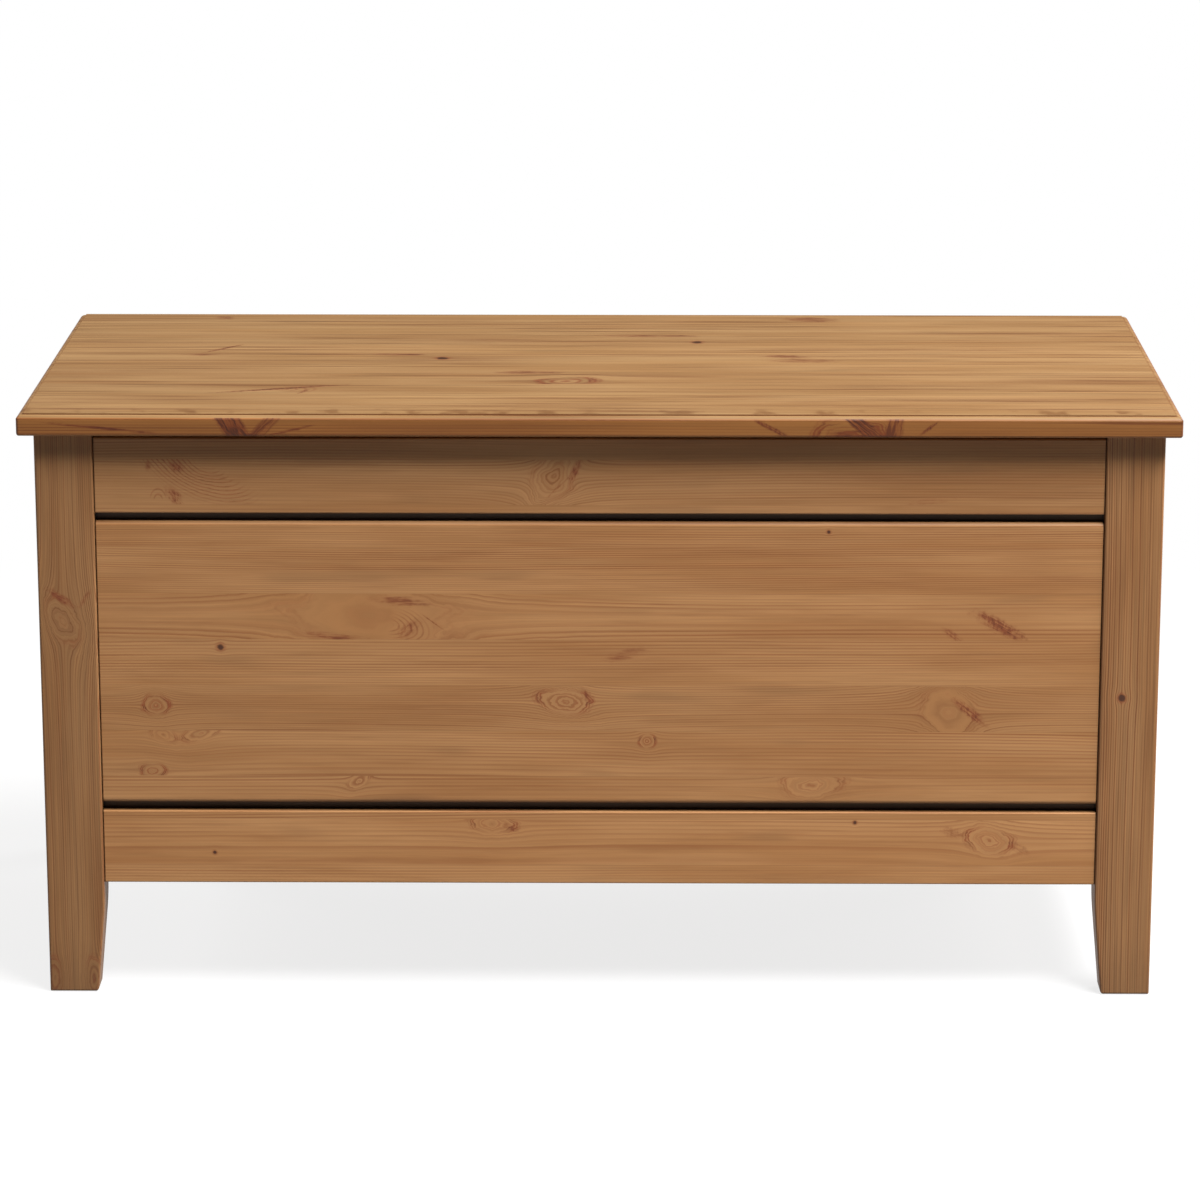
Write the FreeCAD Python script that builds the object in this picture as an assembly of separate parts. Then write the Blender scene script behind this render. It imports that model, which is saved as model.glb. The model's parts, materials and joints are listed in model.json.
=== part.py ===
import FreeCAD, Part
import math
import os

# Linen chest in edge-glued pine, in millimetres.
# +X is to the right, +Y to the back and +Z up, with the origin on the floor under the middle of the outline.
# Four tapered legs carry rail-and-panel walls and a loose bottom.
# The lid turns on two butt hinges, and two slotted stays hold it open.

Vector = FreeCAD.Vector
UP = Vector(0, 0, 1)
DOWN = Vector(0, 0, -1)
RIGHT = Vector(1, 0, 0)
BACK = Vector(0, 1, 0)

# Lid
chest_height = 500.0
lid_width = 950.0
lid_depth = 442.5
lid_thickness = 18.0
lid_gap = 1.5
lid_side_overhang = 12.0
lid_front_overhang = 15.0
moulding_inset = 5.6
moulding_step = 1.0
moulding_drop = 2.8
lid_lower_round = 2.2
lid_corner_round = 2.0
lid_opening = 95.0

# Legs
leg_width = 48.0
leg_depth = 32.0
leg_round = 2.0
taper_height = 78.0
taper_inset = 7.0
taper_blend = 260.0
foot_inner_round = 4.0
foot_outer_round = 2.0

# Rails and panels
rail_thickness = 20.0
rail_setback = 2.0
rail_round = 1.3
top_rail_height = 66.5
top_rail_relief = 3.0
bottom_rail_height = 63.0
bottom_rail_lift = 96.0
shadow_gap = 7.0
panel_thickness = 16.0
panel_round = 3.5
tongue_thickness = 6.0
tongue_depth = 8.0
groove_play = 0.1
groove_spare = 1.0
panel_end_play = 0.3
back_panel_thickness = 6.0
back_panel_inset = 8.0

# Dowels and knock-down fittings
dowel_radius = 4.0
dowel_in_rail = 20.0
dowel_in_leg = 16.0
dowel_edge_distance = 17.0
dowel_end_play = 0.5
fit_play = 0.05
bolt_radius = 3.0
bolt_in_leg = 11.0
bolt_neck_radius = 2.3
bolt_head_radius = 3.2
bolt_head_length = 3.5
bolt_bore_radius = 4.0
cam_distance = 24.0
cam_radius = 7.5
cam_depth = 13.0
cam_play = 0.3
cam_slot_width = 1.6
cam_slot_length = 9.0
cam_slot_depth = 1.5

# Bottom
cleat_size = 18.0
cleat_lift = 6.0
bottom_thickness = 9.0
bottom_play = 1.0
cleat_screw_spacing = 230.0
cleat_screw_end = 60.0

# Lid battens and bumpers
batten_width = 42.0
batten_thickness = 18.0
batten_side_distance = 213.0
batten_end_distance = 34.0
batten_end_chamfer = 8.0
batten_round = 2.0
batten_screw_end = 40.0
batten_screw_count = 3
bumper_radius = 5.0

# Hinges
hinge_length = 64.0
hinge_side_distance = 163.0
leaf_width = 20.0
leaf_thickness = 1.5
leaf_closed_gap = 0.4
leaf_corner_round = 2.0
knuckle_radius = 3.5
knuckle_count = 5
knuckle_end_play = 0.3
knuckle_wood_play = 0.5
pin_radius = 1.75
pin_head_radius = 2.6
pin_head_length = 1.2
mortise_play = 0.1
hinge_screw_spread = 22.0
hinge_screw_inset = 6.0
hinge_screw_stagger = 3.0

# Lid stays
stay_radius = 150.0
stay_pivot_drop = 14.0
stay_guide_drop = 44.0
stay_side_play = 0.5
stay_slot_play = 0.3
stay_stop_play = 0.3
arm_width = 16.0
arm_thickness = 2.0
stud_radius = 2.5
stud_head_radius = 5.0
stud_head_length = 2.0
guide_plate_thickness = 2.0
guide_plate_height = 18.0
guide_plate_length = 54.0
guide_screw_spread = 19.0
rivet_radius = 2.5
rivet_head_radius = 4.5
rivet_head_length = 1.2
bracket_thickness = 2.0
bracket_length = 40.0
bracket_flange = 24.0
bracket_eye_radius = 9.0
bracket_shoulder = 5.0
bracket_screw_spread = 13.0

# Screws: head radius, head height, shank radius and length
plate_screw = {"head": 3.0, "cone": 1.4, "shank": 1.6, "length": 14.0}
board_screw = {"head": 3.8, "cone": 2.2, "shank": 2.0, "length": 29.0}
screw_tip = 3.0

# Levels and faces worked out from the sizes above
lid_bottom = chest_height - lid_thickness
frame_top = lid_bottom - lid_gap
outline_depth = lid_depth + knuckle_wood_play + 2 * knuckle_radius
lid_front = -outline_depth / 2
lid_back = lid_front + lid_depth
frame_front = lid_front + lid_front_overhang
frame_back = lid_back
frame_middle = (frame_front + frame_back) / 2
frame_half_width = lid_width / 2 - lid_side_overhang
front_wall_length = 2 * (frame_half_width - leg_width)
side_wall_length = frame_back - frame_front - 2 * leg_depth
top_rail_bottom = frame_top - top_rail_height
bottom_rail_top = bottom_rail_lift + bottom_rail_height
front_inner_face = frame_front + rail_setback + rail_thickness
back_inner_face = frame_back - rail_thickness
side_inner_face = frame_half_width - rail_setback - rail_thickness
bottom_level = bottom_rail_lift + cleat_lift + cleat_size
hinge_axis_y = frame_back + knuckle_wood_play + knuckle_radius
hinge_axis_z = (lid_bottom + frame_top) / 2
hinge_spread = frame_half_width - hinge_side_distance
batten_spread = frame_half_width - batten_side_distance


def box(x0, x1, y0, y1, z0, z1):
    return Part.makeBox(x1 - x0, y1 - y0, z1 - z0, Vector(x0, y0, z0))


def rod(start, direction, radius, length):
    return Part.makeCylinder(radius, length, start, direction)


def cut(solid, tools):
    """Take away the tools that reach the solid."""
    reach = solid.BoundBox
    near = [tool for tool in tools if reach.intersect(tool.BoundBox)]
    if near:
        solid = solid.cut(near)
    return solid.removeSplitter()


def in_xz(a, b):
    return Vector(a, 0, b)


def in_yz(a, b):
    return Vector(0, a, b)


def in_xy(a, b):
    return Vector(a, b, 0)


def rounded_face(corners, plane):
    """Flat face through corners (a, b, radius), each rounded by a tangent arc where its radius is not zero."""
    points = [Vector(a, b, 0) for a, b, radius in corners]
    arcs = []
    for index, (a, b, radius) in enumerate(corners):
        here = points[index]
        towards_last = (points[index - 1] - here).normalize()
        towards_next = (points[(index + 1) % len(points)] - here).normalize()
        half = towards_last.getAngle(towards_next) / 2
        reach = radius / math.tan(half)
        bisector = (towards_last + towards_next).normalize()
        middle = here + bisector * (radius / math.sin(half) - radius)
        arcs.append((here + towards_last * reach, middle, here + towards_next * reach))
    edges = []
    for index, (start, middle, end) in enumerate(arcs):
        if corners[index][2] > 0:
            edges.append(Part.Arc(plane(*start[:2]), plane(*middle[:2]), plane(*end[:2])).toShape())
        following = arcs[(index + 1) % len(arcs)][0]
        if end.distanceToPoint(following) > 1e-6:
            edges.append(Part.makeLine(plane(*end[:2]), plane(*following[:2])))
    return Part.Face(Part.Wire(edges))


def edges_where(solid, test):
    """Edges whose two ends both meet the test."""
    return [edge for edge in solid.Edges if all(test(vertex.Point) for vertex in edge.Vertexes)]


def screw(kind, head, direction, play=0.0):
    """Countersunk screw with its head's face at head, or with play the hole that takes it."""
    cone = Part.makeCone(kind["head"] + play, kind["shank"] + play, kind["cone"], head, direction)
    body = rod(head, direction, kind["shank"] + play, kind["length"] - screw_tip + play)
    tip_start = head + direction * (kind["length"] - screw_tip + play)
    tip = Part.makeCone(kind["shank"] + play, kind["shank"] / 4, screw_tip, tip_start, direction)
    return cone.fuse([body, tip]).removeSplitter()


def screw_set(kind, places):
    """Screws for a list of (head, direction), and the holes that they need."""
    screws = [screw(kind, head, direction) for head, direction in places]
    holes = [screw(kind, head, direction, fit_play) for head, direction in places]
    return screws, holes


# Legs

def leg_view(width, plane, along, foot_outer, foot_inner):
    """One view of a leg, drawn out along the other one: its inner face draws in towards the foot."""
    corners = [
        (0, 0, foot_outer),
        (width - taper_inset, 0, foot_inner),
        (width, taper_height, taper_blend),
        (width, frame_top, 0),
        (0, frame_top, 0),
    ]
    return rounded_face(corners, plane).extrude(along)


def front_left_leg():
    """Leg tapered on its two inner faces, with eased upright edges and a rounded foot."""
    views = ((leg_width, in_xz, BACK * leg_depth), (leg_depth, in_yz, RIGHT * leg_width))
    sharp = [leg_view(*view, 0, 0) for view in views]
    rounded = [leg_view(*view, foot_outer_round, foot_inner_round) for view in views]
    leg = sharp[0].common(sharp[1]).removeSplitter()
    upright = [edge for edge in leg.Edges if edge.BoundBox.ZLength > frame_top / 2]
    leg = leg.makeFillet(leg_round, upright)
    for whole, kept in zip(sharp, rounded):
        leg = leg.cut(whole.cut(kept).Solids)
    leg.translate(Vector(-frame_half_width, frame_front, 0))
    return leg


def legs(tools):
    first = front_left_leg()
    middle = Vector(0, frame_middle, 0)
    shapes = {
        "front_left_leg": first,
        "front_right_leg": first.mirror(middle, RIGHT),
        "rear_left_leg": first.mirror(middle, BACK),
        "rear_right_leg": first.mirror(middle, RIGHT).mirror(middle, BACK),
    }
    return {name: cut(leg, tools) for name, leg in shapes.items()}


# Walls, drawn along X with their outer face at y = 0 and their inside towards +Y

def rail(length, bottom, height):
    """Rail with eased edges all round its outer face and along its inner face."""
    half = length / 2
    solid = box(-half, half, 0, rail_thickness, bottom, bottom + height)
    outer = edges_where(solid, lambda p: p.y < rail_round)
    inner = [
        edge
        for edge in edges_where(solid, lambda p: p.y > rail_thickness - rail_round)
        if edge.BoundBox.XLength > half
    ]
    return solid.makeFillet(rail_round, outer + inner)


def raised_panel(length):
    """Panel with a rebated tongue all round, which leaves a shadow gap above and below its face."""
    low = bottom_rail_top + shadow_gap
    high = top_rail_bottom - shadow_gap
    reach = shadow_gap + tongue_depth
    tongue_front = panel_thickness - tongue_thickness
    section = [
        (0, low, panel_round),
        (0, high, panel_round),
        (tongue_front, high, 0),
        (tongue_front, high + reach, 0),
        (panel_thickness, high + reach, 0),
        (panel_thickness, low - reach, 0),
        (tongue_front, low - reach, 0),
        (tongue_front, low, 0),
    ]
    half = length / 2 + tongue_depth
    solid = rounded_face(section, in_yz).extrude(RIGHT * (2 * half))
    solid.translate(Vector(-half, 0, 0))
    shoulder = length / 2 - panel_end_play
    for start, end in ((-half, -shoulder), (shoulder, half)):
        solid = solid.cut(box(start, end, 0, tongue_front, low, high))
    solid = solid.removeSplitter()
    face_edges = edges_where(solid, lambda p: p.y < panel_round * 1.01)
    ends = [edge for edge in face_edges if edge.BoundBox.XLength < shoulder]
    return solid.makeFillet(rail_round, ends)


def flat_panel(length):
    half = length / 2 + tongue_depth
    low = bottom_rail_top - tongue_depth
    high = top_rail_bottom + tongue_depth
    return box(-half, half, back_panel_inset, back_panel_inset + back_panel_thickness, low, high)


def panel_grooves(length, front, thickness):
    """Groove round a panel's edge, as the solids to take from the rails and legs."""
    depth = tongue_depth + groove_spare
    half = length / 2 + depth
    low = bottom_rail_top - depth
    high = top_rail_bottom + depth
    return [box(-half, half, front - groove_play, front + thickness + groove_play, low, high)]


def rail_levels(raised):
    """Bottom and height of the two rails of a wall. A raised wall's top rail stays clear of the lid."""
    relief = top_rail_relief if raised else 0.0
    return {
        "bottom": (bottom_rail_lift, bottom_rail_height),
        "top": (top_rail_bottom, top_rail_height - relief),
    }


def wall_dowels(length, levels):
    """Two dowels at each end of each rail, and their holes."""
    dowels = []
    holes = []
    size = dowel_in_rail + dowel_in_leg
    for bottom, height in levels.values():
        for level in (bottom + dowel_edge_distance, bottom + height - dowel_edge_distance):
            for side in (-1, 1):
                start = Vector(side * (length / 2 - dowel_in_rail), rail_thickness / 2, level)
                outward = RIGHT * side
                dowel = rod(start, outward, dowel_radius, size)
                dowels.append(dowel)
                hole_start = start - outward * dowel_end_play
                holes.append(rod(hole_start, outward, dowel_radius + fit_play, size + 2 * dowel_end_play))
    return dowels, holes


def cam_bolt(length, side, level, play=0.0):
    """Bolt screwed into a leg, whose head reaches into the cam in the rail's end."""
    centre = Vector(side * (length / 2 - cam_distance), rail_thickness / 2, level)
    outward = RIGHT * side
    head = rod(centre - outward * (bolt_head_length / 2 + play), outward, bolt_head_radius + play,
               bolt_head_length + 2 * play)
    neck = rod(centre, outward, bolt_neck_radius + play, cam_distance)
    thread = rod(centre + outward * cam_distance, outward, bolt_radius, bolt_in_leg)
    return head.fuse([neck, thread]).removeSplitter()


def cam_lock(length, side, level):
    """Round cam let into a rail's inner face, with a cross slot and a pocket for the bolt's head."""
    inner_face = Vector(side * (length / 2 - cam_distance), rail_thickness, level)
    cam = rod(inner_face, -BACK, cam_radius, cam_depth - cam_play)
    half = cam_slot_length / 2
    breadth = cam_slot_width / 2
    for across, upright in ((half, breadth), (breadth, half)):
        slot = Part.makeBox(2 * across, cam_slot_depth, 2 * upright)
        slot.translate(inner_face - Vector(across, cam_slot_depth, upright))
        cam = cam.cut(slot)
    return cam.cut(cam_bolt(length, side, level, cam_play)).removeSplitter()


def wall_fittings(length, levels):
    """Cam bolts and cam locks at the ends of a wall's rails, and the holes for them."""
    bolts = []
    cams = []
    rail_holes = []
    leg_holes = []
    for bottom, height in levels.values():
        level = bottom + height / 2
        for side in (-1, 1):
            bolts.append(cam_bolt(length, side, level))
            cams.append(cam_lock(length, side, level))
            outward = RIGHT * side
            end = Vector(side * length / 2, rail_thickness / 2, level)
            centre = Vector(side * (length / 2 - cam_distance), rail_thickness, level)
            rail_holes.append(rod(centre, -BACK, cam_radius + fit_play, cam_depth))
            bore_length = cam_distance + bolt_head_length / 2 + cam_play
            rail_holes.append(rod(end, -outward, bolt_bore_radius, bore_length))
            leg_holes.append(rod(end, outward, bolt_radius + fit_play, bolt_in_leg + dowel_end_play))
    return bolts, cams, rail_holes, leg_holes


def bottom_cleat(length):
    """Strip along the inside of a bottom rail, and the places of its screws."""
    low = bottom_rail_lift + cleat_lift
    half = length / 2
    strip = box(-half, half, rail_thickness, rail_thickness + cleat_size, low, low + cleat_size)
    span = length - 2 * cleat_screw_end
    spaces = max(1, round(span / cleat_screw_spacing))
    heads = [
        Vector(-span / 2 + index * span / spaces, rail_thickness + cleat_size, low + cleat_size / 2)
        for index in range(spaces + 1)
    ]
    return strip, [(head, -BACK) for head in heads]


def wall(name, panel_name, length, angle, place, raised, knock_down):
    """Two rails, a panel and a cleat, with the dowels and fittings that join them to the legs."""
    if raised:
        panel = raised_panel(length)
        grooves = panel_grooves(length, panel_thickness - tongue_thickness, tongue_thickness)
    else:
        panel = flat_panel(length)
        grooves = panel_grooves(length, back_panel_inset, back_panel_thickness)
    levels = rail_levels(raised)
    dowels, dowel_holes = wall_dowels(length, levels)
    bolts, cams, rail_holes, leg_holes = wall_fittings(length, levels) if knock_down else ([], [], [], [])
    cleat, screw_places = bottom_cleat(length)
    screws, screw_holes = screw_set(board_screw, screw_places)
    rail_tools = grooves + dowel_holes + rail_holes + screw_holes
    nodes = {panel_name: panel, name + "_bottom_cleat": cut(cleat, screw_holes)}
    for level, (bottom, height) in levels.items():
        nodes[name + "_" + level + "_rail"] = cut(rail(length, bottom, height), rail_tools)
    groups = {"rail_dowels": dowels, "cam_bolts": bolts, "cam_locks": cams, "cleat_screws": screws}
    leg_tools = grooves + dowel_holes + leg_holes
    for shape in list(nodes.values()) + sum(groups.values(), []) + leg_tools:
        seat = FreeCAD.Placement(place, FreeCAD.Rotation(UP, angle))
        shape.Placement = seat.multiply(shape.Placement)
    return nodes, groups, leg_tools


def walls():
    """All four walls: front and sides with raised panels, the back with a flat one."""
    side_face = frame_half_width - rail_setback
    plans = [
        ("front", "front_panel", front_wall_length, 0, Vector(0, frame_front + rail_setback, 0), True, True),
        ("right", "right_side_panel", side_wall_length, 90, Vector(side_face, frame_middle, 0), True, False),
        ("back", "back_panel", front_wall_length, 180, Vector(0, frame_back, 0), False, True),
        ("left", "left_side_panel", side_wall_length, -90, Vector(-side_face, frame_middle, 0), True, False),
    ]
    nodes = {}
    groups = {"rail_dowels": [], "cam_bolts": [], "cam_locks": [], "cleat_screws": []}
    leg_tools = []
    for plan in plans:
        wall_nodes, wall_groups, wall_tools = wall(*plan)
        nodes.update(wall_nodes)
        for group in groups:
            groups[group] += wall_groups[group]
        leg_tools += wall_tools
    return nodes, groups, leg_tools


def bottom_panel():
    """Loose bottom on the cleats, notched round the four legs."""
    across = side_inner_face - bottom_play
    solid = box(-across, across, front_inner_face + bottom_play, back_inner_face - bottom_play,
                bottom_level, bottom_level + bottom_thickness)
    leg_reach = leg_width + bottom_play
    deep = leg_depth + bottom_play
    notches = []
    for x0 in (-frame_half_width, frame_half_width - leg_reach):
        for y0 in (frame_front, frame_back - deep):
            notches.append(box(x0, x0 + leg_reach, y0, y0 + deep, 0, frame_top))
    return cut(solid, notches)


# Hinges

def knuckle_span(index):
    """Ends of one knuckle along a hinge, from the hinge's middle."""
    pitch = hinge_length / knuckle_count
    start = -hinge_length / 2 + index * pitch
    return start + knuckle_end_play / 2, start + pitch - knuckle_end_play / 2


def hinge_leaf(centre, upper):
    """Leaf with every other knuckle: the upper one on the lid, the lower one on the frame."""
    low = hinge_axis_z + (leaf_closed_gap / 2 if upper else -leaf_closed_gap / 2 - leaf_thickness)
    half = hinge_length / 2
    free_edge = hinge_axis_y - leaf_width
    corners = [
        (centre - half, free_edge, leaf_corner_round),
        (centre + half, free_edge, leaf_corner_round),
        (centre + half, hinge_axis_y, 0),
        (centre - half, hinge_axis_y, 0),
    ]
    leaf = rounded_face(corners, in_xy).extrude(UP * leaf_thickness)
    leaf.translate(UP * low)
    own = []
    others = []
    for index in range(knuckle_count):
        start, end = knuckle_span(index)
        if (index % 2 == 1) == upper:
            own.append(rod(Vector(centre + start, hinge_axis_y, hinge_axis_z), RIGHT, knuckle_radius, end - start))
        else:
            clear_start = Vector(centre + start - knuckle_end_play, hinge_axis_y, hinge_axis_z)
            length = end - start + 2 * knuckle_end_play
            others.append(rod(clear_start, RIGHT, knuckle_radius + knuckle_end_play, length))
    bore = rod(Vector(centre - hinge_length, hinge_axis_y, hinge_axis_z), RIGHT, pin_radius + fit_play,
               2 * hinge_length)
    return leaf.cut(others).fuse(own).cut(bore).removeSplitter()


def hinge_pin(centre):
    """Pin through the knuckles with a round head at each end."""
    half = hinge_length / 2
    start = Vector(centre - half, hinge_axis_y, hinge_axis_z)
    pin = rod(start, RIGHT, pin_radius, hinge_length)
    heads = []
    for side in (-1, 1):
        seat = Vector(centre + side * half, hinge_axis_y, hinge_axis_z)
        heads.append(rod(seat, RIGHT * side, pin_head_radius, pin_head_length))
    return pin.fuse(heads).removeSplitter()


def hinge_mortise(centre, upper):
    """Shallow recess for a leaf, in the lid's underside or the back rail's top edge."""
    half = hinge_length / 2 + mortise_play
    front = hinge_axis_y - leaf_width - mortise_play
    if upper:
        deep = hinge_axis_z + leaf_closed_gap / 2 + leaf_thickness
        return box(centre - half, centre + half, front, hinge_axis_y, hinge_axis_z, deep)
    deep = hinge_axis_z - leaf_closed_gap / 2 - leaf_thickness
    return box(centre - half, centre + half, front, hinge_axis_y, deep, hinge_axis_z)


def leaf_screw_places(centre, upper):
    """Three staggered screws of one leaf."""
    level = hinge_axis_z + (leaf_closed_gap / 2 if upper else -leaf_closed_gap / 2)
    places = []
    for step in (-1, 0, 1):
        inset = hinge_screw_inset + (hinge_screw_stagger if step == 0 else 0)
        head = Vector(centre + step * hinge_screw_spread, hinge_axis_y - leaf_width + inset, level)
        places.append((head, UP if upper else DOWN))
    return places


def hinges(upper):
    """Leaves of both hinges on one side of the joint, their mortises, screws and screw holes."""
    leaves = {}
    mortises = []
    places = []
    for name, side in (("left", -1), ("right", 1)):
        centre = side * hinge_spread
        leaves[name] = hinge_leaf(centre, upper)
        mortises.append(hinge_mortise(centre, upper))
        places += leaf_screw_places(centre, upper)
    screws, holes = screw_set(plate_screw, places)
    leaves = {name: cut(leaf, holes) for name, leaf in leaves.items()}
    return leaves, screws, mortises + holes


# Lid stays, drawn on the right and mirrored to the left
# The pivot on the lid and the stud on the rail are equally far from the hinge axis,
# so the arm turns by exactly half of the lid's angle and its slot slides along the stud.

def stay_point(drop):
    """Height and depth of a point at the stay's radius from the hinge axis, a given drop below it."""
    forward = math.sqrt(stay_radius ** 2 - drop ** 2)
    return Vector(0, hinge_axis_y - forward, hinge_axis_z - drop)


stay_pivot = stay_point(stay_pivot_drop)
stay_stud = stay_point(stay_guide_drop)
closed_angle = math.asin(stay_guide_drop / stay_radius) - math.asin(stay_pivot_drop / stay_radius)
open_angle = closed_angle + math.radians(lid_opening)
closed_reach = 2 * stay_radius * math.sin(closed_angle / 2)
open_reach = 2 * stay_radius * math.sin(open_angle / 2)
guide_face = side_inner_face - guide_plate_thickness
arm_outer_face = guide_face - stay_side_play
arm_inner_face = arm_outer_face - arm_thickness
bracket_face = arm_inner_face - stay_side_play


def stay_arm():
    """Slotted flat arm, hung from its pivot eye and passing over the stud."""
    half = arm_width / 2
    slot_half = stud_radius + stay_slot_play
    tail = open_reach + stud_radius + stay_stop_play + half
    bar = rounded_face([(-half, half, half), (-half, -tail, half), (half, -tail, half), (half, half, half)], in_yz)
    slot_top = -(closed_reach - stud_radius - stay_stop_play)
    slot_end = -(open_reach + stud_radius + stay_stop_play)
    slot_corners = [
        (-slot_half, slot_top, slot_half),
        (-slot_half, slot_end, slot_half),
        (slot_half, slot_end, slot_half),
        (slot_half, slot_top, slot_half),
    ]
    slot = rounded_face(slot_corners, in_yz)
    arm = bar.extrude(RIGHT * arm_thickness).cut(slot.extrude(RIGHT * arm_thickness))
    arm = arm.cut(rod(Vector(), RIGHT, rivet_radius + fit_play, arm_thickness))
    along = stay_stud - stay_pivot
    lean = math.degrees(math.atan2(along.y, -along.z))
    arm.rotate(Vector(), RIGHT, lean)
    arm.translate(stay_pivot + RIGHT * arm_inner_face)
    return arm


def stay_guide():
    """Plate on the side rail with the headed stud that the arm's slot slides on."""
    half = guide_plate_length / 2
    rise = guide_plate_height / 2
    y, z = stay_stud.y, stay_stud.z
    corners = [
        (y - half, z - rise, rise),
        (y + half, z - rise, rise),
        (y + half, z + rise, rise),
        (y - half, z + rise, rise),
    ]
    plate = rounded_face(corners, in_yz).extrude(RIGHT * guide_plate_thickness)
    plate.translate(RIGHT * guide_face)
    shank = rod(stay_stud + RIGHT * bracket_face, RIGHT, stud_radius, guide_face - bracket_face)
    head = rod(stay_stud + RIGHT * (bracket_face - stud_head_length), RIGHT, stud_head_radius, stud_head_length)
    return plate.fuse([shank, head]).removeSplitter()


def stay_bracket():
    """Angle bracket under the lid, with an eye for the arm's rivet."""
    half = bracket_length / 2
    y, z = stay_pivot.y, stay_pivot.z
    eye = bracket_eye_radius
    corners = [
        (y - half, lid_bottom, 0),
        (y + half, lid_bottom, 0),
        (y + half, lid_bottom - bracket_shoulder, bracket_thickness),
        (y + eye, z - eye, eye),
        (y - eye, z - eye, eye),
        (y - half, lid_bottom - bracket_shoulder, bracket_thickness),
    ]
    upright = rounded_face(corners, in_yz).extrude(RIGHT * -bracket_thickness)
    upright.translate(RIGHT * bracket_face)
    flange = box(bracket_face - bracket_flange, bracket_face, y - half, y + half,
                 lid_bottom - bracket_thickness, lid_bottom)
    eye_hole = rod(stay_pivot + RIGHT * (bracket_face - bracket_thickness), RIGHT, rivet_radius + fit_play,
                   bracket_thickness)
    return upright.fuse(flange).cut(eye_hole).removeSplitter()


def stay_rivet():
    """Rivet through the bracket's eye and the arm's eye, with a head at each end."""
    inner = bracket_face - bracket_thickness
    outer = arm_outer_face + stay_stop_play
    shank = rod(stay_pivot + RIGHT * inner, RIGHT, rivet_radius, outer - inner)
    inner_head = rod(stay_pivot + RIGHT * inner, -RIGHT, rivet_head_radius, rivet_head_length)
    outer_head = rod(stay_pivot + RIGHT * outer, RIGHT, rivet_head_radius, rivet_head_length)
    return shank.fuse([inner_head, outer_head]).removeSplitter()


def both_sides(solids):
    """Right-hand solids and their mirror images on the left."""
    return solids + [solid.mirror(Vector(), RIGHT) for solid in solids]


def stays():
    """Pieces of both stays, with the screw holes for the side rails and the lid."""
    guide_places = [
        (stay_stud + Vector(guide_face, side * guide_screw_spread, 0), RIGHT) for side in (-1, 1)
    ]
    flange_middle = bracket_face - bracket_thickness - (bracket_flange - bracket_thickness) / 2
    bracket_places = [
        (Vector(flange_middle, stay_pivot.y + side * bracket_screw_spread, lid_bottom - bracket_thickness), UP)
        for side in (-1, 1)
    ]
    guide_screws, guide_holes = screw_set(plate_screw, guide_places)
    bracket_screws, bracket_holes = screw_set(plate_screw, bracket_places)
    right = {
        "stay_arm": stay_arm(),
        "stay_guide": cut(stay_guide(), guide_holes),
        "stay_bracket": cut(stay_bracket(), bracket_holes),
        "stay_rivet": stay_rivet(),
    }
    nodes = {"right_" + name: solid for name, solid in right.items()}
    nodes.update({"left_" + name: solid.mirror(Vector(), RIGHT) for name, solid in right.items()})
    groups = {
        "stay_guide_screws": both_sides(guide_screws),
        "stay_bracket_screws": both_sides(bracket_screws),
    }
    return nodes, groups, both_sides(guide_holes), both_sides(bracket_holes)


# Lid

def lid_board():
    """Lid panel with a stepped ovolo along its front and two ends, and a rounded lower edge."""
    half = lid_width / 2
    board = box(-half, half, lid_front, lid_back, lid_bottom, chest_height)
    shown = [
        edge
        for edge in board.Edges
        if edge.BoundBox.ZMax < lid_bottom + 1 and edge.BoundBox.YMin < lid_back - 1
    ]
    board = board.makeFillet(lid_lower_round, shown)
    corners = edges_where(board, lambda p: p.y < 0 and abs(p.x) > half - 1)
    corners = [edge for edge in corners if edge.BoundBox.ZLength > lid_thickness / 2]
    board = board.makeFillet(lid_corner_round, corners)
    step_level = chest_height - moulding_step
    edge_level = step_level - moulding_drop
    bow = 1 - math.sqrt(0.5)
    ovolo = Part.Arc(
        in_xz(moulding_inset, step_level),
        in_xz(moulding_inset * bow, step_level - moulding_drop * bow),
        in_xz(0, edge_level),
    ).toShape()
    outside = [
        in_xz(0, edge_level),
        in_xz(-moulding_inset, edge_level),
        in_xz(-moulding_inset, chest_height + moulding_step),
        in_xz(moulding_inset, chest_height + moulding_step),
        in_xz(moulding_inset, step_level),
    ]
    lines = [Part.makeLine(start, end) for start, end in zip(outside, outside[1:])]
    waste = Part.Face(Part.Wire([ovolo] + lines))
    left = waste.extrude(BACK * 3 * lid_depth)
    left.translate(Vector(-half, -1.5 * lid_depth, 0))
    right = left.mirror(Vector(), RIGHT)
    front = waste.extrude(-BACK * 2 * lid_width)
    front.rotate(Vector(), UP, 90)
    front.translate(Vector(-lid_width, lid_front, 0))
    return board.cut([left, right, front]).removeSplitter()


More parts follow.
